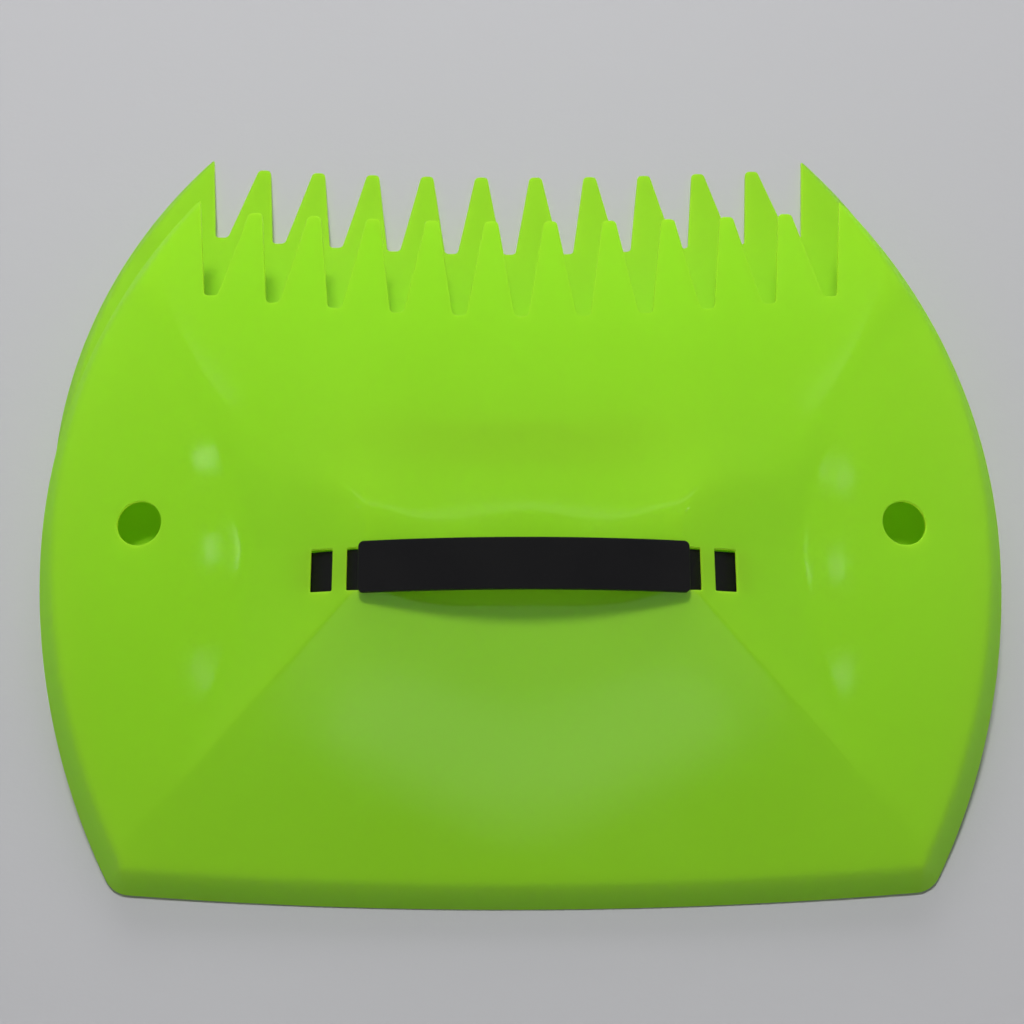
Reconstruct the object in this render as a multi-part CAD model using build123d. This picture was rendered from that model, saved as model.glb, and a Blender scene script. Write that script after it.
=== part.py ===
"""A pair of leaf grabber hands: two identical moulded scoops with snap-in strap handles.

One scoop lies flat. The other is stacked on it, moved towards the heel, with its heel lip
on the ground and its underside propped on the lower strap.

Millimetres. X runs across the scoop, +Y points to the teeth, +Z is up. A scoop is made in
its own frame first: the heel edge crosses Y = 0 and the rim stands on Z = 0.
"""
from build123d import *
import math
import os

# ---- shell outline, seen from above ----
HALF_WIDTH = 183.4  # widest half width, at the bottom of the rim
WIDEST_Y = 133.0  # where the scoop is widest
HEEL_SIDE_RADIUS = 256.0  # side arc from the widest point back to the heel
FRONT_SIDE_RADIUS = 215.0  # side arc from the widest point out to the corner tooth
HEEL_RADIUS = 1870.0  # shallow arc of the heel edge
CORNER_RADIUS = 10.5  # rounded heel corners

# ---- teeth ----
GAP_COUNT = 11  # gaps between the twelve teeth
GAP_PITCH = 24.3  # spacing at the floors of the gaps
TIP_PITCH = 23.5  # spacing at the tips
GAP_Y = 225.0  # floor of the middle gap
GAP_BOW = 0.0006  # the gap floors follow a shallow parabola, per mm
TIP_Y = 267.0  # tips of the two middle teeth
TIP_BOW = 0.0003  # and so do the tips, per mm
GAP_FLOOR = 5.2  # flat width at a gap's floor
GAP_CORNER = 1.9  # rounding of the floor's corners
TIP_WIDTH = 5.2  # width of a tooth's tip
TIP_ROUND = 2.0  # rounding of the tip's corners
CORNER_TIP_X = 128.2  # inner edge of the pointed corner tooth, at its tip

# ---- shell wall and rim ----
WALL = 2.0  # thickness, measured straight down through the faces
LIP_RUN = 0.8  # the rim flares out by this much for each mm that it drops
LIP_TOP = 11.4  # highest point that the flared rim reaches

# ---- ridge, where the hand sits ----
SADDLE_Z = 30.4  # height in the middle, under the strap
SHOULDER_Z = 34.1  # height of the two shoulders that hold the strap
SHOULDER_X = 57.2  # where the shoulders peak, before they fall to the wings
RIDGE_Y = 130.0  # shallow fold between the front and the heel facets of a shoulder

# ---- crease between the shoulders and the wings ----
CREASE_X = 103.0  # half width of the raised middle, at the ridge
CREASE_Z = 19.6
CREASE_FRONT = (113.0, 172.0, 17.0)  # a point of the crease towards the teeth
CREASE_HEEL = (113.5, 71.0, 19.3)  # and one towards the heel

# ---- wings ----
WING_Z = 20.6
WING_CREST_X = 92.6
WING_CREST_Y = 98.0
WING_CURVE_X = 0.00165
WING_CURVE_Y = 0.00058

# ---- front face, from the ridge down to the teeth ----
FRONT_Z = 7.4
FRONT_SAG = 0.00004
TOOTH_SLOPE = 0.12
FRONT_SLOPE = 0.18
FRONT_SLOPE_MIDDLE = 0.085
FRONT_SLOPE_SHOULDER = 0.125
FRONT_MIDDLE_WIDTH = 45.0
FRONT_SHOULDER_X = 64.0  # the face is steepest below this
FRONT_SHOULDER_WIDTH = 28.0
FRONT_BEND = 12.0  # length over which the face eases into the teeth

# ---- heel face, from the ridge back to the rim ----
HEEL_FACE_Z = 11.0
HEEL_FACE_Y = 9.0
HEEL_FACE_BOW = 0.00015
HEEL_SLOPE = 0.1955
HEEL_SLOPE_GAIN = 0.022
HEEL_SLOPE_X = 64.0  # the face is steepest below this

# ---- slots for the strap, and hang holes ----
SLOT_Y = 120.4  # middle of the slots and of the strap
SLOT_LENGTH = 15.7
SLOT_WIDTH = 8.1
SLOT_INNER_X = 56.0  # inboard edge of the inner slot
BAR_WIDTH = 5.3  # bar between the two slots of a side
SLOT_CORNER = 0.5
HOLE_X = 143.4
HOLE_Y = 141.0
HOLE_RADIUS = 8.5

# ---- strap handle ----
STRAP_LAP = 3.5  # how far the strap's ends run out over the inner slots
STRAP_HALF = SLOT_INNER_X + STRAP_LAP
STRAP_WIDTH = 18.7
STRAP_THICKNESS = 3.0
STRAP_RISE = 7.6  # height of the bow over its ends
STRAP_SEAT_GAP = 0.3  # clearance between the strap's ends and the shell
STRAP_CORNER = 2.0
STRAP_EDGE = 0.6  # rounding of the long edges
LEG_THICKNESS = 3.2  # leg that goes down through the inner slot
TONGUE_THICKNESS = 2.0
TONGUE_SLOPE = 0.39  # the tongue falls outwards under the bar
TONGUE_GAP = 0.1  # between the tongue's root and the underside of the bar
TONGUE_REACH = 4.5  # how far the tongue runs on under the shell, past the outer slot
SLOT_CLEARANCE = 0.35  # between the strap and each side of its slots
CATCH_HEIGHT = 1.0  # ridge across the tongue's end that stops it slipping back

# ---- how the two scoops are stacked ----
STACK_BACK = 43.8  # the upper scoop sits this much nearer the heel
STACK_SIDE = 4.3  # and this much to the side
STACK_CLEARANCE = 0.3  # between the lower strap and the upper shell

# ---- working sizes that only need to be big enough ----
SKY = 70.0  # above everything
CELLAR = 20.0  # below everything
FRONT_REACH = 62.0  # degrees that the flared block's side arcs run forward, past the teeth
SLAB = 150.0  # thickness of a slab under or over a face
FACE_TOLERANCE = 0.05  # fit of a curved face to its heights
OVERRUN = 10.0  # how far a working face runs past what it cuts
HALVINGS = 60  # steps of a search by halving


def saddle_height(x):
    return SADDLE_Z + (SHOULDER_Z - SADDLE_Z) * (x / SHOULDER_X) ** 2


def shoulder_height(x):
    """Height along the ridge: up the saddle to a shoulder, then down to the crease."""
    if x < SHOULDER_X:
        return saddle_height(x)
    fall = (SHOULDER_Z - CREASE_Z) / (CREASE_X - SHOULDER_X)
    return SHOULDER_Z - fall * (x - SHOULDER_X)


def wing_height(x, y):
    across = WING_CURVE_X * (abs(x) - WING_CREST_X) ** 2
    along = WING_CURVE_Y * (y - WING_CREST_Y) ** 2
    return WING_Z - across - along


def front_height(x, y):
    """Front face: steep below the shoulders, easing into the flat teeth."""
    behind = GAP_Y + GAP_BOW * x**2 - y
    offsets = (x - FRONT_SHOULDER_X, x + FRONT_SHOULDER_X)
    shoulders = sum(math.exp(-((offset / FRONT_SHOULDER_WIDTH) ** 2)) for offset in offsets)
    middle = math.exp(-((x / FRONT_MIDDLE_WIDTH) ** 2))
    slope = FRONT_SLOPE + FRONT_SLOPE_MIDDLE * middle + FRONT_SLOPE_SHOULDER * shoulders
    eased = FRONT_BEND * math.log1p(math.exp(behind / FRONT_BEND))
    return FRONT_Z - FRONT_SAG * x**2 + TOOTH_SLOPE * behind + (slope - TOOTH_SLOPE) * eased


def heel_height(x, y):
    spread = (x / HEEL_SLOPE_X) ** 2
    slope = HEEL_SLOPE + HEEL_SLOPE_GAIN * spread * math.exp(1 - spread)
    return HEEL_FACE_Z + slope * (y - HEEL_FACE_Y - HEEL_FACE_BOW * x**2)


def curved_face(height, x_range, y_range, x_steps, y_steps):
    """Smooth face through a coarse net of heights."""
    rows = []
    for i in range(x_steps + 1):
        x = x_range[0] + (x_range[1] - x_range[0]) * i / x_steps
        row = []
        for j in range(y_steps + 1):
            y = y_range[0] + (y_range[1] - y_range[0]) * j / y_steps
            row.append(Vector(x, y, height(x, y)))
        rows.append(row)
    return Face.make_surface_from_array_of_points(rows, tol=FACE_TOLERANCE, min_deg=3, max_deg=3)


def facet(a, b, c):
    """Everything under the plane through three points."""
    a, b, c = Vector(*a), Vector(*b), Vector(*c)
    normal = (b - a).cross(c - a).normalized()
    if normal.Z < 0:
        normal = -normal
    return Plane(origin=a, z_dir=normal) * Pos(0, 0, -SLAB / 2) * Box(4 * HALF_WIDTH, 4 * HALF_WIDTH, SLAB)


def raised_middle():
    """Saddle and shoulders, with flat facets down to the crease that meet in a shallow valley."""
    x_end = HALF_WIDTH + OVERRUN
    stations = [x_end * i / 4 for i in range(-4, 5)]
    crest = [(x, saddle_height(x)) for x in stations]
    below = Polyline(crest[-1], (x_end, -SKY), (-x_end, -SKY), crest[0])
    profile = Plane.XZ * make_face([Spline(*crest), *below.edges()])
    halves = []
    for (x, y, z), run in ((CREASE_FRONT, -TIP_Y), (CREASE_HEEL, TIP_Y)):
        half = Pos(0, RIDGE_Y, 0) * extrude(profile, amount=run)
        for side in (-1, 1):
            fold_low = (side * CREASE_X, RIDGE_Y, CREASE_Z)
            fold_high = (side * SHOULDER_X, RIDGE_Y, SHOULDER_Z)
            half &= facet(fold_low, (side * x, y, z), fold_high)
        halves.append(half)
    return halves[0] + halves[1]


def bulk():
    """Solid under all the shell's faces, before the rim is cut."""
    x_end = HALF_WIDTH + OVERRUN
    solid = raised_middle()
    for side in (-1, 1):
        x_range = sorted((side * SHOULDER_X, side * x_end))
        wing = curved_face(wing_height, x_range, (-OVERRUN, TIP_Y + 2 * OVERRUN), 3, 3)
        solid += Solid.extrude(wing, Vector(0, 0, -SLAB))
    heel = curved_face(heel_height, (-x_end, x_end), (-2 * OVERRUN, RIDGE_Y + 4 * OVERRUN), 12, 3)
    solid -= Solid.extrude(heel, Vector(0, 0, SLAB))
    front = curved_face(front_height, (-x_end, x_end), (RIDGE_Y - 2 * OVERRUN, TIP_Y + 2 * OVERRUN), 12, 6)
    return solid - Solid.extrude(front, Vector(0, 0, SLAB))


def side_point(reach, inset=0.0):
    """Point on the right-hand front arc, reach degrees round from the widest point."""
    centre_x = HALF_WIDTH - FRONT_SIDE_RADIUS
    radius = FRONT_SIDE_RADIUS - inset
    angle = math.radians(reach)
    return (centre_x + radius * math.cos(angle), WIDEST_Y + radius * math.sin(angle))


def heel_side_point(reach, inset=0.0):
    """The same on the arc that runs back to the heel."""
    centre_x = HALF_WIDTH - HEEL_SIDE_RADIUS
    radius = HEEL_SIDE_RADIUS - inset
    angle = math.radians(reach)
    return (centre_x + radius * math.cos(angle), WIDEST_Y - radius * math.sin(angle))


def heel_edge_y(x, inset=0.0):
    return HEEL_RADIUS - math.sqrt((HEEL_RADIUS - inset) ** 2 - x**2)


def heel_reach(inset=0.0):
    """Degrees round the heel side arc to where it crosses the heel edge."""
    low, high = 0.0, 80.0
    for _ in range(HALVINGS):
        reach = (low + high) / 2
        x, y = heel_side_point(reach, inset)
        if y > heel_edge_y(x, inset):
            low = reach
        else:
            high = reach
    return low


def outline(reach, front, inset=0.0):
    """Plan face closed by a front edge, given as points from the right to the left."""

    def mirrored(points, side):
        return [(side * x, y) for x, y in points]

    heel = heel_reach(inset)
    corner_x, corner_y = heel_side_point(heel, inset)
    back = [heel_side_point(heel * share, inset) for share in (1, 0.5, 0)]
    ahead = [side_point(reach * share, inset) for share in (0, 0.5, 1)]
    edges = [ThreePointArc((-corner_x, corner_y), (0, heel_edge_y(0, inset)), (corner_x, corner_y))]
    for side in (-1, 1):
        edges.append(ThreePointArc(*mirrored(back, side)))
        edges.append(ThreePointArc(*mirrored(ahead, side)))
    edges += Polyline(*front).edges()
    face = make_face(edges)
    corners = [v for v in face.vertices() if abs(v.X) > corner_x - 1 and v.Y < corner_y + 1]
    return fillet(corners, CORNER_RADIUS - inset)


def corner_tooth_reach():
    """Degrees round the front arc to the tip of the corner tooth."""
    centre_x = HALF_WIDTH - FRONT_SIDE_RADIUS
    return math.degrees(math.acos((CORNER_TIP_X - centre_x) / FRONT_SIDE_RADIUS))


def tooth_points():
    """Front edge from the right corner tooth to the left one, and its two sets of corners."""
    last = (GAP_COUNT - 1) / 2
    tips = []
    floors = []
    points = []
    for i in range(GAP_COUNT):
        place = last - i
        x = place * GAP_PITCH
        y = GAP_Y + GAP_BOW * x**2
        if i > 0:
            tip_x = (place + 0.5) * TIP_PITCH
            tip_y = TIP_Y + TIP_BOW * tip_x**2
            tips += [(tip_x + TIP_WIDTH / 2, tip_y), (tip_x - TIP_WIDTH / 2, tip_y)]
            points += tips[-2:]
        floors += [(x + GAP_FLOOR / 2, y), (x - GAP_FLOOR / 2, y)]
        points += floors[-2:]
    return points, tips, floors


def toothed_outline():
    reach = corner_tooth_reach()
    tip = side_point(reach)
    points, tips, floors = tooth_points()
    face = outline(reach, [tip, *points, (-tip[0], tip[1])])

    def at(places):
        return [v for v in face.vertices() if any(math.dist((v.X, v.Y), p) < 0.01 for p in places)]

    face = fillet(at(tips), TIP_ROUND)
    return fillet(at(floors), GAP_CORNER)


def flared_block(inset, height):
    """Block with the rim's flare: it narrows as it rises to the given height, then goes straight up."""
    tip = side_point(FRONT_REACH, inset)
    face = outline(FRONT_REACH, [tip, (-tip[0], tip[1])], inset)
    angle = math.degrees(math.atan(LIP_RUN))
    flare = extrude(face, amount=height, taper=angle)
    top = flare.faces().sort_by(Axis.Z)[-1]
    return flare + extrude(top, amount=SKY), face


def slot_edges():
    """Inboard and outboard edge of the inner slot, then of the outer slot."""
    inner_end = SLOT_INNER_X + SLOT_WIDTH
    outer_start = inner_end + BAR_WIDTH
    return (SLOT_INNER_X, inner_end), (outer_start, outer_start + SLOT_WIDTH)


def hole_axis(side):
    """Centre of a hang hole on the wing's outer face, and the face's upward normal there."""
    step = 0.5
    rise_x = (wing_height(HOLE_X + step, HOLE_Y) - wing_height(HOLE_X - step, HOLE_Y)) / (2 * step)
    rise_y = (wing_height(HOLE_X, HOLE_Y + step) - wing_height(HOLE_X, HOLE_Y - step)) / (2 * step)
    centre = Vector(side * HOLE_X, HOLE_Y, wing_height(HOLE_X, HOLE_Y))
    return centre, Vector(-side * rise_x, -rise_y, 1).normalized()


def shell():
    """The moulded scoop: faces, flared rim, teeth, slots and hang holes."""
    solid = bulk()
    outer_block, _ = flared_block(0, LIP_TOP)
    inset = WALL * math.hypot(1, LIP_RUN)
    inner_block, inner_plan = flared_block(inset, LIP_TOP - WALL)
    inner_block += Pos(0, 0, -CELLAR) * extrude(inner_plan, amount=CELLAR)
    piece = (outer_block & solid) - (inner_block & (Pos(0, 0, -WALL) * solid))
    piece &= extrude(toothed_outline(), amount=SKY)
    for side in (-1, 1):
        for start, end in slot_edges():
            cut = Rectangle(end - start, SLOT_LENGTH)
            cut = fillet(cut.vertices(), SLOT_CORNER)
            piece -= Pos(side * (start + end) / 2, SLOT_Y, 0) * extrude(cut, amount=SKY)
        centre, normal = hole_axis(side)
        piece -= Plane(origin=centre, z_dir=normal) * Cylinder(HOLE_RADIUS, 2 * CELLAR)
    return piece


def strap_seat_z():
    """Underside of the strap's ends."""
    return SHOULDER_Z + STRAP_SEAT_GAP


def strap_top_z():
    """Top of the strap in the middle of its bow."""
    return strap_seat_z() + STRAP_THICKNESS + STRAP_RISE


def strap_bow():
    """The visible bowed bar that the fingers go under."""
    seat = strap_seat_z()
    top = ThreePointArc(
        (-STRAP_HALF, seat + STRAP_THICKNESS), (0, strap_top_z()), (STRAP_HALF, seat + STRAP_THICKNESS)
    )
    under = ThreePointArc((STRAP_HALF, seat), (0, strap_top_z() - STRAP_THICKNESS), (-STRAP_HALF, seat))
    ends = [Line(top @ 1, under @ 0), Line(under @ 1, top @ 0)]
    profile = make_face([top, under, *ends])
    bar = extrude(Plane.XZ * profile, amount=STRAP_WIDTH / 2, both=True)
    upright = [e for e in bar.edges() if abs(e.length - STRAP_THICKNESS) < 0.01]
    bar = fillet(upright, STRAP_CORNER)
    rims = [e for e in bar.edges() if e.length > STRAP_HALF]
    return fillet(rims, STRAP_EDGE)


def strap_end(side):
    """Leg down through the inner slot, and the tongue that runs out under the bar."""
    (leg_start, _), (_, slot_end) = slot_edges()
    leg_start += SLOT_CLEARANCE
    leg_end = leg_start + LEG_THICKNESS
    tip_x = slot_end + TONGUE_REACH
    top_z = shoulder_height(leg_end) - WALL - TONGUE_GAP
    tip_z = top_z - TONGUE_SLOPE * (tip_x - leg_end)
    catch_x = slot_end + SLOT_CLEARANCE
    catch_z = top_z - TONGUE_SLOPE * (catch_x - leg_end)
    points = [
        (leg_start, strap_seat_z() + STRAP_THICKNESS / 2),
        (leg_end, strap_seat_z() + STRAP_THICKNESS / 2),
        (leg_end, top_z),
        (catch_x, catch_z),
        (catch_x, catch_z + CATCH_HEIGHT),
        (tip_x, tip_z + CATCH_HEIGHT / 2),
        (tip_x, tip_z - TONGUE_THICKNESS),
        (leg_start, top_z - TONGUE_SLOPE * (leg_start - leg_end) - TONGUE_THICKNESS),
    ]
    profile = make_face(Polyline(*[(side * x, z) for x, z in points], close=True))
    return extrude(Plane.XZ * profile, amount=SLOT_LENGTH / 2 - SLOT_CLEARANCE, both=True)


def strap():
    piece = strap_bow() + strap_end(-1) + strap_end(1)
    return Pos(0, SLOT_Y, 0) * piece


def stack_pitch():
    """Degrees that the upper scoop leans back when its underside rests over the lower strap."""
    edge_y = SLOT_Y + STRAP_WIDTH / 2 + STACK_BACK
    low, high = 0.0, 30.0
    for _ in range(HALVINGS):
        pitch = (low + high) / 2
        turn = math.radians(pitch)
        y = edge_y * math.cos(turn) + strap_top_z() * math.sin(turn)
        z = strap_top_z() * math.cos(turn) - edge_y * math.sin(turn)
        if front_height(STACK_SIDE, y) - WALL - STACK_CLEARANCE < z:
            low = pitch
        else:
            high = pitch
    return high


def placements():
    """Where the lower and the upper scoop stand, centred on the pair's box."""
    upper = Pos(STACK_SIDE, -STACK_BACK, 0) * Rot(stack_pitch(), 0, 0)
    centre_x = STACK_SIDE / 2
    centre_y = (front_end() - STACK_BACK) / 2
    shift = Pos(-centre_x, -centre_y, 0)
    return {"lower": shift, "upper": shift * upper}


def front_end():
    """Furthest point of the teeth."""
    return side_point(corner_tooth_reach())[1]


def main():
    os.makedirs("parts", exist_ok=True)
    scoop = {"shell": shell(), "strap_handle": strap()}
    for level, place in placements().items():
        for name, piece in scoop.items():
            export_step(place * piece, f"parts/{level}_{name}.step")


if __name__ == "__main__":
    main()
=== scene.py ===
import bpy
import math
import numpy as np
from mathutils import Matrix, Vector
from mathutils.geometry import delaunay_2d_cdt


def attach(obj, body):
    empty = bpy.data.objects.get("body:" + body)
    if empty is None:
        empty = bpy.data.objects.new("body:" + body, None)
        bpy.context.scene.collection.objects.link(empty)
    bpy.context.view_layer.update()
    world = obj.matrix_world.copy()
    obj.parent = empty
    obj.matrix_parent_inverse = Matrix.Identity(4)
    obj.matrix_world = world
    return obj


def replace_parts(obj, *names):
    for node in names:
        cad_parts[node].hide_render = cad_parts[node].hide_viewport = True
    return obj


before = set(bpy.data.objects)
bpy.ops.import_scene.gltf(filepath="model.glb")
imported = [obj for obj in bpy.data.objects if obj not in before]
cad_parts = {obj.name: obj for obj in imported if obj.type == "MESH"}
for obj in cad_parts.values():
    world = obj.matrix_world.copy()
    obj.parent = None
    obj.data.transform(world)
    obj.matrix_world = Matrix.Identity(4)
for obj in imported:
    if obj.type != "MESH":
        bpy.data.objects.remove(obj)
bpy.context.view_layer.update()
scene = bpy.context.scene

# ------------------------------------------------------------------ scoop, in mm, in its own frame
HALF_WIDTH, WIDEST_Y = 183.4, 133.0
HEEL_SIDE_RADIUS, FRONT_SIDE_RADIUS, HEEL_RADIUS, CORNER_RADIUS = 256.0, 215.0, 1870.0, 10.5
GAP_COUNT, GAP_PITCH, TIP_PITCH = 11, 24.3, 23.5
GAP_Y, GAP_BOW, TIP_Y, TIP_BOW = 225.0, 0.0006, 267.0, 0.0003
GAP_FLOOR, GAP_CORNER, TIP_WIDTH, TIP_ROUND, CORNER_TIP_X = 5.2, 1.9, 5.2, 2.0, 128.2
WALL, LIP_RUN = 2.0, 0.8
SADDLE_Z, SHOULDER_Z, SHOULDER_X, RIDGE_Y = 30.4, 34.1, 57.2, 130.0
CREASE_X, CREASE_Z = 103.0, 19.6
CREASE_FRONT, CREASE_HEEL = (113.0, 172.0, 17.0), (113.5, 71.0, 19.3)
SLOT_Y, SLOT_LENGTH, SLOT_WIDTH, SLOT_INNER_X, BAR_WIDTH, SLOT_CORNER = 120.4, 15.7, 8.1, 56.0, 5.3, 0.5
HOLE_X, HOLE_Y, HOLE_RADIUS = 143.4, 141.0, 8.5
WING_Z, WING_CREST_X, WING_CREST_Y, WING_CURVE_X, WING_CURVE_Y = 20.6, 92.6, 98.0, 0.00165, 0.00058
FRONT_Z, FRONT_SAG, TOOTH_SLOPE, FRONT_BEND = 7.4, 0.00004, 0.12, 12.0
FRONT_SLOPE, FRONT_SLOPE_MIDDLE, FRONT_SLOPE_SHOULDER = 0.18, 0.085, 0.125
FRONT_MIDDLE_WIDTH, FRONT_SHOULDER_X, FRONT_SHOULDER_WIDTH = 45.0, 64.0, 28.0
HEEL_FACE_Z, HEEL_FACE_Y, HEEL_FACE_BOW = 11.0, 9.0, 0.00015
HEEL_SLOPE, HEEL_SLOPE_GAIN, HEEL_SLOPE_X = 0.1955, 0.022, 64.0
STRAP_WIDTH, STRAP_THICKNESS, STRAP_RISE, STRAP_SEAT_GAP = 18.7, 3.0, 7.6, 0.3
STACK_BACK, STACK_SIDE, STACK_CLEARANCE = 43.8, 4.3, 0.3

# only in this mesh: how softly the faces run into each other, and how its edges are finished
SHOULDER_SOFT, CREASE_SOFT, HIP_SOFT, FRONT_SOFT, LIP_SOFT = 0.35, 0.45, 0.14, 0.9, 0.7
FACET_SOFT = 0.02
WING_FROM_X = 50  # the wings aren't looked at nearer the middle than this
RIM_EDGE = 0.35  # height of the rim's outer edge
EDGE_ROUND = 0.4
SHRINK = 0.9992  # keeps the mesh inside the CAD model's box
OUTLINE_STEP = 1.6


def lower_of(a, b, k):
    """The lower of two heights, rounded over about k where they meet."""
    return (a + b - np.hypot(a - b, 2 * k)) / 2


def higher_of(a, b, k):
    return (a + b + np.hypot(a - b, 2 * k)) / 2


def saddle(x):
    return SADDLE_Z + (SHOULDER_Z - SADDLE_Z) * (x / SHOULDER_X) ** 2


def facet(point, x, y):
    fall = (SHOULDER_Z - CREASE_Z) / (SHOULDER_X - CREASE_X)
    along = (point[2] - CREASE_Z - fall * (point[0] - CREASE_X)) / (point[1] - RIDGE_Y)
    return CREASE_Z + fall * (x - CREASE_X) + along * (y - RIDGE_Y)


def wing(x, y):
    return WING_Z - WING_CURVE_X * (x - WING_CREST_X) ** 2 - WING_CURVE_Y * (y - WING_CREST_Y) ** 2


def front(x, y):
    behind = GAP_Y + GAP_BOW * x**2 - y
    right = np.exp(-(((x - FRONT_SHOULDER_X) / FRONT_SHOULDER_WIDTH) ** 2))
    left = np.exp(-(((x + FRONT_SHOULDER_X) / FRONT_SHOULDER_WIDTH) ** 2))
    middle = FRONT_SLOPE_MIDDLE * np.exp(-((x / FRONT_MIDDLE_WIDTH) ** 2))
    slope = FRONT_SLOPE + middle + FRONT_SLOPE_SHOULDER * (right + left)
    eased = FRONT_BEND * np.logaddexp(0, behind / FRONT_BEND)
    return FRONT_Z - FRONT_SAG * x**2 + TOOTH_SLOPE * behind + (slope - TOOTH_SLOPE) * eased


def heel(x, y):
    out = (x / HEEL_SLOPE_X) ** 2
    slope = HEEL_SLOPE + HEEL_SLOPE_GAIN * out * np.exp(1 - out)
    return HEEL_FACE_Z + slope * (y - HEEL_FACE_Y - HEEL_FACE_BOW * x**2)


def faces(x, y):
    """Height of the moulded faces over the plan point, before the rim flares down."""
    x = np.abs(x)
    sides = higher_of(facet(CREASE_FRONT, x, y), facet(CREASE_HEEL, x, y), FACET_SOFT)
    middle = lower_of(saddle(x), sides, SHOULDER_SOFT)
    raised = np.where(x > WING_FROM_X, higher_of(middle, wing(x, y), CREASE_SOFT), middle)
    return lower_of(lower_of(raised, heel(x, y), HIP_SOFT), front(x, y), FRONT_SOFT)


# centres of the outline's arcs
HEEL_SIDE_X = HALF_WIDTH - HEEL_SIDE_RADIUS
FRONT_SIDE_X = HALF_WIDTH - FRONT_SIDE_RADIUS


def corner_centre():
    """Centre of the rounded heel corner, inside both the heel arc and the side arc."""
    a, ra = np.array([0.0, HEEL_RADIUS]), HEEL_RADIUS - CORNER_RADIUS
    b, rb = np.array([HEEL_SIDE_X, WIDEST_Y]), HEEL_SIDE_RADIUS - CORNER_RADIUS
    d = np.linalg.norm(b - a)
    t = (ra**2 - rb**2 + d**2) / (2 * d)
    h = math.sqrt(ra**2 - t**2)
    u = (b - a) / d
    p = a + t * u
    both = [p + h * np.array([-u[1], u[0]]), p - h * np.array([-u[1], u[0]])]
    return max(both, key=lambda q: q[0])


CORNER = corner_centre()
HEEL_TOUCH = np.array([0, HEEL_RADIUS]) + (CORNER - np.array([0, HEEL_RADIUS])) * HEEL_RADIUS / (
    HEEL_RADIUS - CORNER_RADIUS
)
SIDE_TOUCH = np.array([HEEL_SIDE_X, WIDEST_Y]) + (CORNER - np.array([HEEL_SIDE_X, WIDEST_Y])) * HEEL_SIDE_RADIUS / (
    HEEL_SIDE_RADIUS - CORNER_RADIUS
)


def inward(x, y):
    """Distance in from the flared rim's foot."""
    x = np.abs(x)
    heel_side = HEEL_SIDE_RADIUS - np.hypot(x - HEEL_SIDE_X, y - WIDEST_Y)
    front_side = FRONT_SIDE_RADIUS - np.hypot(x - FRONT_SIDE_X, y - WIDEST_Y)
    side = np.where(y > WIDEST_Y, front_side, heel_side)
    back = HEEL_RADIUS - np.hypot(x, y - HEEL_RADIUS)
    d = np.minimum(side, back)
    to_heel, to_side = HEEL_TOUCH - CORNER, SIDE_TOUCH - CORNER
    px, py = x - CORNER[0], y - CORNER[1]
    between = (to_heel[0] * py - to_heel[1] * px > 0) & (to_side[0] * py - to_side[1] * px < 0)
    return np.where(between, CORNER_RADIUS - np.hypot(px, py), d)


def top_z(x, y):
    d = inward(x, y)
    rim = RIM_EDGE + np.maximum(d, 0) / LIP_RUN
    return np.maximum(lower_of(faces(x, y), rim, LIP_SOFT), np.minimum(RIM_EDGE, rim))


def under_z(x, y):
    d = inward(x, y)
    inset = WALL * math.hypot(1, LIP_RUN)
    return np.maximum(np.minimum(faces(x, y) - WALL, (d - inset) / LIP_RUN), 0.0)


# ------------------------------------------------------------------ plan outlines
def arc(centre, radius, a0, a1, step):
    n = max(2, int(abs(a1 - a0) * radius / step) + 1)
    return [(centre[0] + radius * math.cos(a), centre[1] + radius * math.sin(a)) for a in np.linspace(a0, a1, n)]


def rounded(points, radii, n=6):
    """Closed polyline with each corner rounded by its own radius."""
    out = []
    count = len(points)
    for i in range(count):
        p, r = np.array(points[i], float), radii[i]
        a = np.array(points[i - 1], float) - p
        b = np.array(points[(i + 1) % count], float) - p
        a, b = a / np.linalg.norm(a), b / np.linalg.norm(b)
        if r <= 0:
            out.append(tuple(p))
            continue
        half = math.acos(max(-1, min(1, float(a @ b)))) / 2
        reach = r / math.tan(half)
        middle = p + (a + b) / np.linalg.norm(a + b) * (r / math.sin(half))
        start, end = p + a * reach - middle, p + b * reach - middle
        a0, a1 = math.atan2(start[1], start[0]), math.atan2(end[1], end[0])
        turn = (a1 - a0 + math.pi) % (2 * math.pi) - math.pi
        for k in range(n + 1):
            t = a0 + turn * k / n
            out.append((middle[0] + r * math.cos(t), middle[1] + r * math.sin(t)))
    return out


def spaced(points, step, closed=True):
    out = []
    count = len(points)
    for i in range(count if closed else count - 1):
        a, b = np.array(points[i]), np.array(points[(i + 1) % count])
        n = max(1, int(round(np.linalg.norm(b - a) / step)))
        out += [tuple(a + (b - a) * k / n) for k in range(n)]
    return out


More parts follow.
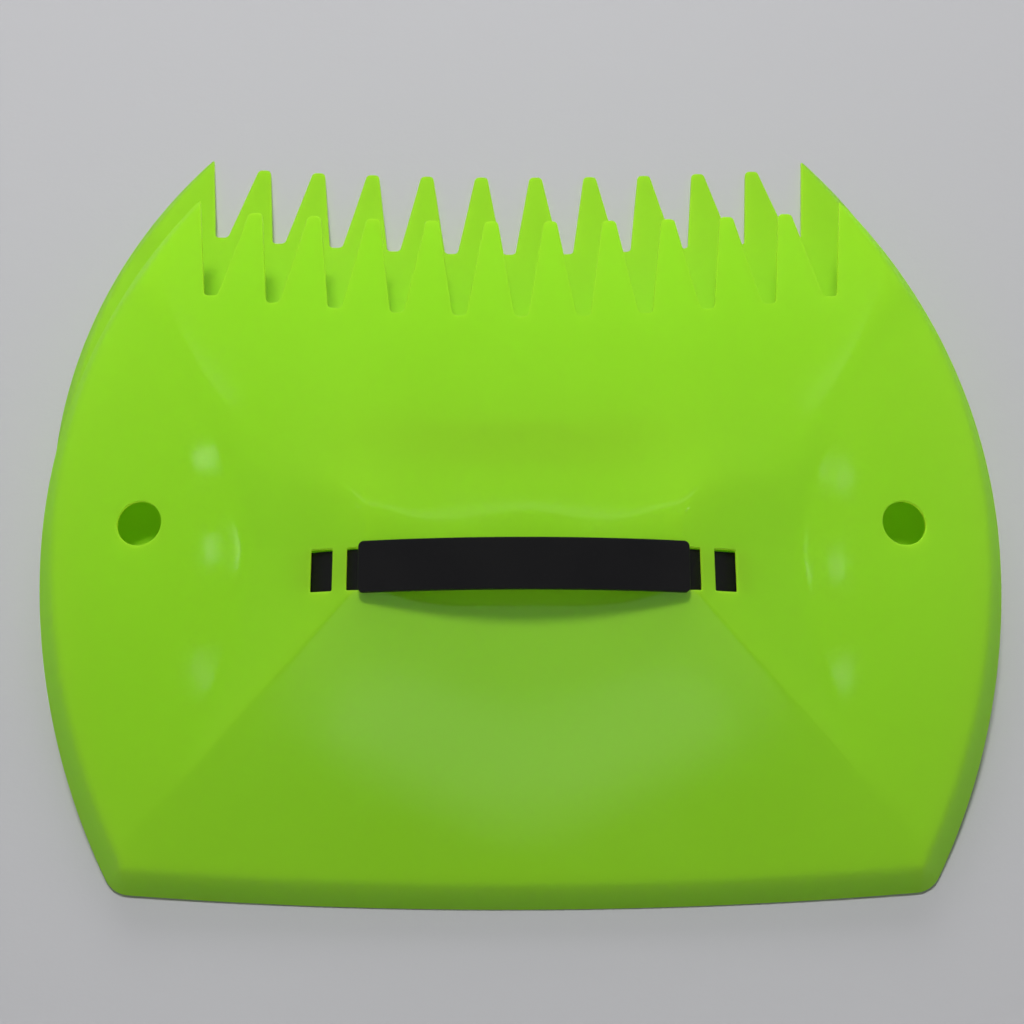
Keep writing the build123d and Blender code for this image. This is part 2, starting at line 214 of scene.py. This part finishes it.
def plan_outline():
    """Counter-clockwise plan of one scoop, with its teeth."""
    tip_angle = math.acos((CORNER_TIP_X - FRONT_SIDE_X) / FRONT_SIDE_RADIUS)
    tip = (CORNER_TIP_X, WIDEST_Y + FRONT_SIDE_RADIUS * math.sin(tip_angle))
    heel_half = math.asin(HEEL_TOUCH[0] / HEEL_RADIUS)
    right = []
    a_heel = math.atan2(*(HEEL_TOUCH - CORNER)[::-1])
    a_side = math.atan2(*(SIDE_TOUCH - CORNER)[::-1])
    right += arc(CORNER, CORNER_RADIUS, a_heel, a_side, 1.0)
    side_start = math.atan2(SIDE_TOUCH[1] - WIDEST_Y, SIDE_TOUCH[0] - HEEL_SIDE_X)
    right += arc((HEEL_SIDE_X, WIDEST_Y), HEEL_SIDE_RADIUS, side_start, 0, OUTLINE_STEP)[1:]
    right += arc((FRONT_SIDE_X, WIDEST_Y), FRONT_SIDE_RADIUS, 0, tip_angle, OUTLINE_STEP)[1:-1]
    teeth, radii = [tip], [0.5]
    last = (GAP_COUNT - 1) // 2
    for i in range(GAP_COUNT):
        place = last - i
        x = place * GAP_PITCH
        if i > 0:
            tx = (place + 0.5) * TIP_PITCH
            ty = TIP_Y + TIP_BOW * tx**2
            teeth += [(tx + TIP_WIDTH / 2, ty), (tx - TIP_WIDTH / 2, ty)]
            radii += [TIP_ROUND] * 2
        y = GAP_Y + GAP_BOW * x**2
        teeth += [(x + GAP_FLOOR / 2, y), (x - GAP_FLOOR / 2, y)]
        radii += [GAP_CORNER] * 2
    teeth.append((-tip[0], tip[1]))
    radii.append(0.5)
    before, after = right[-1], (-right[-1][0], right[-1][1])
    cut = rounded([before] + teeth + [after], [0] + radii + [0])[1:-1]
    left = [(-x, y) for x, y in reversed(right)]
    first, final = -math.pi / 2 - heel_half, -math.pi / 2 + heel_half
    back = arc((0, HEEL_RADIUS), HEEL_RADIUS, first, final, OUTLINE_STEP)[1:-1]
    toothed_from = len(right)
    points = right + cut + left + back
    return points, toothed_from, toothed_from + len(cut)


def offset_loop(points, distance):
    """The closed loop moved to its left-hand side, which is inside for a counter-clockwise one."""
    p = np.array(points)
    before, after = p - np.roll(p, 1, 0), np.roll(p, -1, 0) - p
    before /= np.linalg.norm(before, axis=1)[:, None]
    after /= np.linalg.norm(after, axis=1)[:, None]
    n0 = np.stack([-before[:, 1], before[:, 0]], 1)
    n1 = np.stack([-after[:, 1], after[:, 0]], 1)
    n = n0 + n1
    n /= np.maximum((n * n).sum(1) / 2, 0.35)[:, None]
    return p + n * distance


def inside(points, x, y):
    """Even-odd test of many points against one closed loop."""
    p = np.array(points)
    q = np.roll(p, -1, 0)
    hit = np.zeros(len(x), bool)
    for (x0, y0), (x1, y1) in zip(p, q):
        if y0 == y1:
            continue
        crosses = (y0 > y) != (y1 > y)
        hit ^= crosses & (x < (x1 - x0) * (y - y0) / (y1 - y0) + x0)
    return hit


def open_distance(points, x, y):
    """Distance of many points to an open polyline."""
    p = np.array(points)
    best = np.full(len(x), 1e9)
    for a, b in zip(p[:-1], p[1:]):
        d = b - a
        length = max(float(d @ d), 1e-12)
        t = np.clip(((x - a[0]) * d[0] + (y - a[1]) * d[1]) / length, 0, 1)
        best = np.minimum(best, np.hypot(x - a[0] - t * d[0], y - a[1] - t * d[1]))
    return best


def near_loop(points, x, y):
    """Distance of many points to a closed polyline."""
    return open_distance(list(points) + [points[0]], x, y)


def shell_loops():
    """Closed plan loops, each with the solid on its left, and the stretch of the first that is cut by the teeth."""
    edge, cut_from, cut_to = plan_outline()
    cut = edge[cut_from - 1 : cut_to + 1]
    loops = [spaced(edge, OUTLINE_STEP)]
    for side in (-1, 1):
        start = SLOT_INNER_X
        for _ in range(2):
            mid = side * (start + SLOT_WIDTH / 2)
            w, h = SLOT_WIDTH / 2, SLOT_LENGTH / 2
            corners = [(mid - w, SLOT_Y - h), (mid - w, SLOT_Y + h), (mid + w, SLOT_Y + h), (mid + w, SLOT_Y - h)]
            loops.append(spaced(rounded(corners, [SLOT_CORNER] * 4, 3), 1.2))
            start += SLOT_WIDTH + BAR_WIDTH
        turns = -np.linspace(0, 2 * math.pi, 65)[:-1]
        loops.append([(side * HOLE_X + HOLE_RADIUS * math.cos(a), HOLE_Y + HOLE_RADIUS * math.sin(a)) for a in turns])
    return loops, spaced(cut, OUTLINE_STEP, closed=False) + [cut[-1]]


def hip_points():
    """Points along the folds that bound the heel face, in rows beside the fold."""
    xs = np.arange(-168, 168.01, 0.8)
    low, high = np.full(len(xs), -5.0), np.full(len(xs), RIDGE_Y)
    for _ in range(40):
        y = (low + high) / 2
        ax = np.abs(xs)
        middle = np.minimum(saddle(ax), np.maximum(facet(CREASE_FRONT, ax, y), facet(CREASE_HEEL, ax, y)))
        raised = np.where(ax > SHOULDER_X, np.maximum(middle, wing(ax, y)), middle)
        under = heel(xs, y) < raised
        low, high = np.where(under, y, low), np.where(under, high, y)
    path = np.stack([xs, low], 1)
    run = np.gradient(path, axis=0)
    run /= np.linalg.norm(run, axis=1)[:, None]
    across = np.stack([-run[:, 1], run[:, 0]], 1)
    return np.concatenate([path + across * t for t in (-1.5, -1.0, -0.6, -0.3, 0.0, 0.3, 0.6, 1.0, 1.5)]), path


def shell_mesh():
    """One closed moulding: top and underside over the same plan points, joined by a wall along every loop."""
    loops, cut = shell_loops()
    edge = loops[0]
    fixed, sides = [], []
    for loop in loops:
        for t in (0.0, 0.12, EDGE_ROUND):
            ring = offset_loop(loop, t)
            first = len(fixed)
            fixed += [tuple(p) for p in ring]
            sides += [(first + i, first + (i + 1) % len(ring)) for i in range(len(ring))]
    rim = []
    for t in np.arange(1.0, 13.01, 0.8):
        ring = offset_loop(edge, t)
        rim.append(ring[np.abs(inward(ring[:, 0], ring[:, 1]) - t) < 0.02])
    rim = np.concatenate(rim)
    hips, path = hip_points()
    step = 0.9
    gx, gy = np.meshgrid(np.arange(-184, 184.01, step), np.arange(-1, 290, step), indexing="ij")
    ix, iy = np.meshgrid(np.arange(gx.shape[0]), np.arange(gx.shape[1]), indexing="ij")
    gx = gx + np.where(iy % 2 == 0, 0.0, step / 2)
    z, h = faces(gx, gy), 1.5
    bend = np.abs(faces(gx + h, gy) + faces(gx - h, gy) - 2 * z) + np.abs(faces(gx, gy + h) + faces(gx, gy - h) - 2 * z)
    keep = (bend > 0.02) | ((ix % 3 == 0) & (iy % 3 == 0))
    keep &= inward(gx, gy) > 13.5
    grid = np.stack([gx[keep], gy[keep]], 1)
    grid = grid[open_distance(path, grid[:, 0], grid[:, 1]) > 1.9]
    hips = hips[inward(hips[:, 0], hips[:, 1]) > 13.3]
    loose = np.concatenate([rim, hips, grid])
    ok = inside(edge, loose[:, 0], loose[:, 1])
    for loop in loops[1:]:
        ok &= ~inside(loop, loose[:, 0], loose[:, 1])
    loose = loose[ok]
    clear = np.minimum.reduce([near_loop(loop, loose[:, 0], loose[:, 1]) for loop in loops])
    loose = loose[clear > 0.9]
    points = [Vector(p) for p in fixed] + [Vector(p) for p in loose]
    verts, _, tris, *_ = delaunay_2d_cdt(points, sides, [], 0, 1e-4)
    flat = np.array([(v[0], v[1]) for v in verts])
    tris = np.array([t for t in tris if len(t) == 3])
    middle = flat[tris].mean(axis=1)
    ok = inside(edge, middle[:, 0], middle[:, 1])
    for loop in loops[1:]:
        ok &= ~inside(loop, middle[:, 0], middle[:, 1])
    tris = tris[ok]
    a, b, c = flat[tris[:, 0]], flat[tris[:, 1]], flat[tris[:, 2]]
    turn = (b[:, 0] - a[:, 0]) * (c[:, 1] - a[:, 1]) - (b[:, 1] - a[:, 1]) * (c[:, 0] - a[:, 0])
    tris[turn < 0] = tris[turn < 0][:, ::-1]
    used = np.unique(tris)
    renumber = np.full(len(flat), -1)
    renumber[used] = np.arange(len(used))
    flat, tris = flat[used], renumber[tris]
    x, y = flat[:, 0], flat[:, 1]
    to_cut = np.minimum.reduce([open_distance(cut, x, y)] + [near_loop(loop, x, y) for loop in loops[1:]])
    away = np.clip(EDGE_ROUND - to_cut, 0, EDGE_ROUND)
    drop = EDGE_ROUND - np.sqrt(EDGE_ROUND**2 - away**2)
    over, under = top_z(x, y) - drop, np.maximum(under_z(x, y) + 0.7 * drop, 0)
    n = len(flat)
    px, py = x * SHRINK, WIDEST_Y + (y - WIDEST_Y) * SHRINK
    coords = np.concatenate([np.stack([px, py, over], 1), np.stack([px, py, under], 1)]) / 1000
    pairs = {}
    for t in tris:
        for i in range(3):
            p, q = int(t[i]), int(t[(i + 1) % 3])
            pairs[(p, q)] = True
    border = [(p, q) for (p, q) in pairs if (q, p) not in pairs]
    polys = [tuple(int(i) for i in t) for t in tris]
    polys += [tuple(int(i) + n for i in t[::-1]) for t in tris]
    polys += [(q, p, p + n, q + n) for p, q in border]
    mesh = bpy.data.meshes.new("scoop")
    mesh.from_pydata([tuple(p) for p in coords], [], polys)
    mesh.update()
    mesh.polygons.foreach_set("use_smooth", [True] * len(polys))
    step = 0.05
    normals = []
    for fn, sign in ((top_z, 1), (under_z, -1)):
        dx = (fn(x + step, y) - fn(x - step, y)) / (2 * step)
        dy = (fn(x, y + step) - fn(x, y - step)) / (2 * step)
        v = np.stack([-dx, -dy, np.ones(n)], 1) * sign
        normals.append(v / np.linalg.norm(v, axis=1)[:, None])
    analytic = np.concatenate(normals)
    exact = np.tile((to_cut > EDGE_ROUND - 0.01) & (inward(x, y) > 0.5), 2)
    corner = np.array([tuple(c.vector) for c in mesh.corner_normals])
    loop_vertex = np.empty(len(mesh.loops), int)
    mesh.loops.foreach_get("vertex_index", loop_vertex)
    walls = np.zeros(len(mesh.loops), bool)
    walls[-4 * len(border) :] = True
    pick = exact[loop_vertex] & ~walls
    corner[pick] = analytic[loop_vertex[pick]]
    mesh.normals_split_custom_set([tuple(c) for c in corner])
    return mesh


# ------------------------------------------------------------------ placing the two scoops
TIP_ANGLE = math.acos((CORNER_TIP_X - FRONT_SIDE_X) / FRONT_SIDE_RADIUS)
CENTRE_Y = (WIDEST_Y + FRONT_SIDE_RADIUS * math.sin(TIP_ANGLE) - STACK_BACK) / 2
STRAP_TOP = SHOULDER_Z + STRAP_SEAT_GAP + STRAP_THICKNESS + STRAP_RISE


def stack_pitch():
    """Tilt at which the upper shell just clears the front edge of the lower strap."""
    edge_y = SLOT_Y + STRAP_WIDTH / 2 + STACK_BACK
    low, high = 0.0, 30.0
    for _ in range(50):
        pitch = (low + high) / 2
        c, s = math.cos(math.radians(pitch)), math.sin(math.radians(pitch))
        y, z = edge_y * c + STRAP_TOP * s, STRAP_TOP * c - edge_y * s
        if front(STACK_SIDE, y) - WALL - STACK_CLEARANCE < z:
            low = pitch
        else:
            high = pitch
    return math.radians(high)


home = Matrix.Translation(Vector((-STACK_SIDE / 2, -CENTRE_Y, 0)) / 1000)
tilt = Matrix.Translation(Vector((STACK_SIDE, -STACK_BACK, 0)) / 1000) @ Matrix.Rotation(stack_pitch(), 4, "X")
places = {"lower": home, "upper": home @ tilt}


# ------------------------------------------------------------------ materials
GREEN_A, GREEN_B = (0.350, 0.735, 0.028), (0.372, 0.770, 0.034)
GREEN_THROUGH = (0.76, 0.95, 0.17)  # light that comes through the wall
GREEN_SHARE_THROUGH = 0.60
BLACK_A, BLACK_MIDDLE, BLACK_B = (0.004, 0.004, 0.005), (0.0055, 0.0055, 0.006), (0.007, 0.007, 0.007)
PAPER_A, PAPER_MIDDLE, PAPER_B = (0.362, 0.362, 0.373), (0.37, 0.37, 0.38), (0.377, 0.377, 0.388)


def material(name):
    m = bpy.data.materials.new(name)
    m.use_nodes = True
    tree = m.node_tree
    return m, tree, tree.nodes["Principled BSDF"], tree.nodes["Material Output"]


def noise(tree, scale, detail=3.0, rough=0.5):
    coords = tree.nodes.new("ShaderNodeTexCoord")
    n = tree.nodes.new("ShaderNodeTexNoise")
    n.inputs["Scale"].default_value = scale
    n.inputs["Detail"].default_value = detail
    n.inputs["Roughness"].default_value = rough
    tree.links.new(coords.outputs["Object"], n.inputs["Vector"])
    return n.outputs["Fac"]


def spread(tree, value, low, high, out_low, out_high):
    r = tree.nodes.new("ShaderNodeMapRange")
    r.inputs["From Min"].default_value = low
    r.inputs["From Max"].default_value = high
    r.inputs["To Min"].default_value = out_low
    r.inputs["To Max"].default_value = out_high
    tree.links.new(value, r.inputs["Value"])
    return r.outputs["Result"]


def mixed(tree, factor, a, b):
    m = tree.nodes.new("ShaderNodeMix")
    m.data_type = "RGBA"
    m.inputs[6].default_value = (*a, 1)
    m.inputs[7].default_value = (*b, 1)
    tree.links.new(factor, m.inputs[0])
    return m.outputs[2]


def bumped(tree, height, strength, distance):
    b = tree.nodes.new("ShaderNodeBump")
    b.inputs["Strength"].default_value = strength
    b.inputs["Distance"].default_value = distance
    tree.links.new(height, b.inputs["Height"])
    return b.outputs["Normal"]


def green_plastic():
    m, tree, shader, out = material("green_shell")
    shader.inputs["Base Color"].default_value = (*GREEN_A, 1)
    shader.inputs["Roughness"].default_value = 0.11
    tint = mixed(tree, spread(tree, noise(tree, 9.0), 0.3, 0.7, 0, 1), GREEN_A, GREEN_B)
    tree.links.new(tint, shader.inputs["Base Color"])
    rough = spread(tree, noise(tree, 38.0, 4.0), 0.3, 0.7, 0.085, 0.13)
    tree.links.new(rough, shader.inputs["Roughness"])
    shader.inputs["Specular IOR Level"].default_value = 0.6
    normal = bumped(tree, noise(tree, 420.0, 2.0), 0.05, 0.0004)
    tree.links.new(normal, shader.inputs["Normal"])
    through = tree.nodes.new("ShaderNodeBsdfTranslucent")
    through.inputs["Color"].default_value = (*GREEN_THROUGH, 1)
    both = tree.nodes.new("ShaderNodeMixShader")
    both.inputs[0].default_value = GREEN_SHARE_THROUGH
    tree.links.new(shader.outputs[0], both.inputs[1])
    tree.links.new(through.outputs[0], both.inputs[2])
    tree.links.new(both.outputs[0], out.inputs["Surface"])
    return m


def black_plastic():
    m, tree, shader, out = material("black_strap")
    shader.inputs["Base Color"].default_value = (*BLACK_MIDDLE, 1)
    shader.inputs["Roughness"].default_value = 0.49
    tint = mixed(tree, noise(tree, 30.0), BLACK_A, BLACK_B)
    tree.links.new(tint, shader.inputs["Base Color"])
    rough = spread(tree, noise(tree, 60.0, 4.0), 0.3, 0.7, 0.42, 0.56)
    tree.links.new(rough, shader.inputs["Roughness"])
    shader.inputs["Specular IOR Level"].default_value = 0.2
    normal = bumped(tree, noise(tree, 1500.0, 2.0), 0.12, 0.0003)
    tree.links.new(normal, shader.inputs["Normal"])
    return m


def floor_paper():
    m, tree, shader, out = material("floor")
    shader.inputs["Base Color"].default_value = (*PAPER_MIDDLE, 1)
    tint = mixed(tree, noise(tree, 3.0), PAPER_A, PAPER_B)
    tree.links.new(tint, shader.inputs["Base Color"])
    shader.inputs["Roughness"].default_value = 0.75
    shader.inputs["Specular IOR Level"].default_value = 0.2
    normal = bumped(tree, noise(tree, 90.0, 6.0, 0.6), 0.25, 0.0006)
    tree.links.new(normal, shader.inputs["Normal"])
    return m


green, black, paper = green_plastic(), black_plastic(), floor_paper()

# ------------------------------------------------------------------ the pieces
mesh = shell_mesh()
mesh.materials.append(green)
for level, place in places.items():
    placed = mesh.copy()
    placed.transform(place)
    scoop = bpy.data.objects.new(f"{level}_scoop_moulding", placed)
    scene.collection.objects.link(scoop)
    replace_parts(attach(scoop, f"{level}_scoop"), f"{level}_shell")
    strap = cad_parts[f"{level}_strap_handle"]
    strap.data.materials.clear()
    strap.data.materials.append(black)

# ------------------------------------------------------------------ stage
bpy.ops.mesh.primitive_plane_add(size=6, location=(0, 0, -0.0002))
floor = bpy.context.object
floor.name = "floor"
floor.data.materials.append(paper)


def area_light(name, place, target, width, height, power, colour=(1, 1, 1)):
    data = bpy.data.lights.new(name, "AREA")
    data.shape, data.size, data.size_y = "RECTANGLE", width, height
    data.energy, data.color = power, colour
    lamp = bpy.data.objects.new(name, data)
    scene.collection.objects.link(lamp)
    lamp.location = place
    lamp.rotation_euler = (Vector(place) - Vector(target)).to_track_quat("Z", "Y").to_euler()
    return lamp


key = area_light("key", (-0.13, 0.60, 1.65), (0, 0, 0), 0.34, 0.28, 27.0)
key.visible_glossy = False
fill = area_light("fill", (-0.10, 1.75, 1.0), (0, 0, 0), 1.2, 0.8, 16.0)
fill.visible_glossy = False
over = area_light("over", (0.03, -0.49, 0.93), (0.03, -0.09, 0), 0.64, 0.32, 0.40)
over.data.shape = "ELLIPSE"
low = area_light("low", (0.03, -0.575, 0.93), (0.03, -0.09, 0), 0.46, 0.10, 0.11)
low.data.shape = "ELLIPSE"
area_light("strip", (0.04, 0.60, 1.2), (0.04, 0, 0), 0.95, 0.08, 0.27)
# small lamps, one for each bright patch on the wings
LAMP_PLACES = [(-0.67, 0.42), (-0.61, 0.15), (-0.66, -0.165), (0.75, 0.37), (0.70, 0.11), (0.73, -0.17)]
LAMP_HEIGHT, LAMP_SIZE, LAMP_POWER = 1.5, 0.036, 0.05
for i, (x, y) in enumerate(LAMP_PLACES):
    area_light(f"lamp_{i}", (x, y, LAMP_HEIGHT), (0, 0, 0), LAMP_SIZE, LAMP_SIZE, LAMP_POWER)

world = bpy.data.worlds.new("world")
scene.world = world
world.use_nodes = True
sky = world.node_tree
coords = sky.nodes.new("ShaderNodeTexCoord")
split = sky.nodes.new("ShaderNodeSeparateXYZ")
sky.links.new(coords.outputs["Generated"], split.inputs[0])
glow = spread(sky, split.outputs["Z"], 0.45, 0.98, 0.42, 0.10)
sky.links.new(glow, sky.nodes["Background"].inputs["Strength"])
sky.nodes["Background"].inputs["Color"].default_value = (0.98, 0.98, 1.0, 1)
scene.view_settings.view_transform = "Standard"

# ------------------------------------------------------------------ camera
LENS, DISTANCE, TILT, YAW, ROLL = 56.25, 0.63967, 21.377, -2.044, 1.886
TARGET = Vector((-0.00136, -0.00458, 0))
lean, turn, roll = math.radians(TILT), math.radians(YAW), math.radians(ROLL)
swing = Matrix.Rotation(turn, 3, "Z")
back = swing @ Vector((0, -math.sin(lean), math.cos(lean)))
up = swing @ Vector((0, math.cos(lean), math.sin(lean)))
right = swing @ Vector((1, 0, 0))
right, up = right * math.cos(roll) + up * math.sin(roll), up * math.cos(roll) - right * math.sin(roll)
camera_data = bpy.data.cameras.new("camera")
camera_data.lens = LENS
camera = bpy.data.objects.new("camera", camera_data)
scene.collection.objects.link(camera)
axes = Matrix((right, up, back)).transposed().to_4x4()
camera.matrix_world = Matrix.Translation(TARGET + back * DISTANCE) @ axes
scene.camera = camera
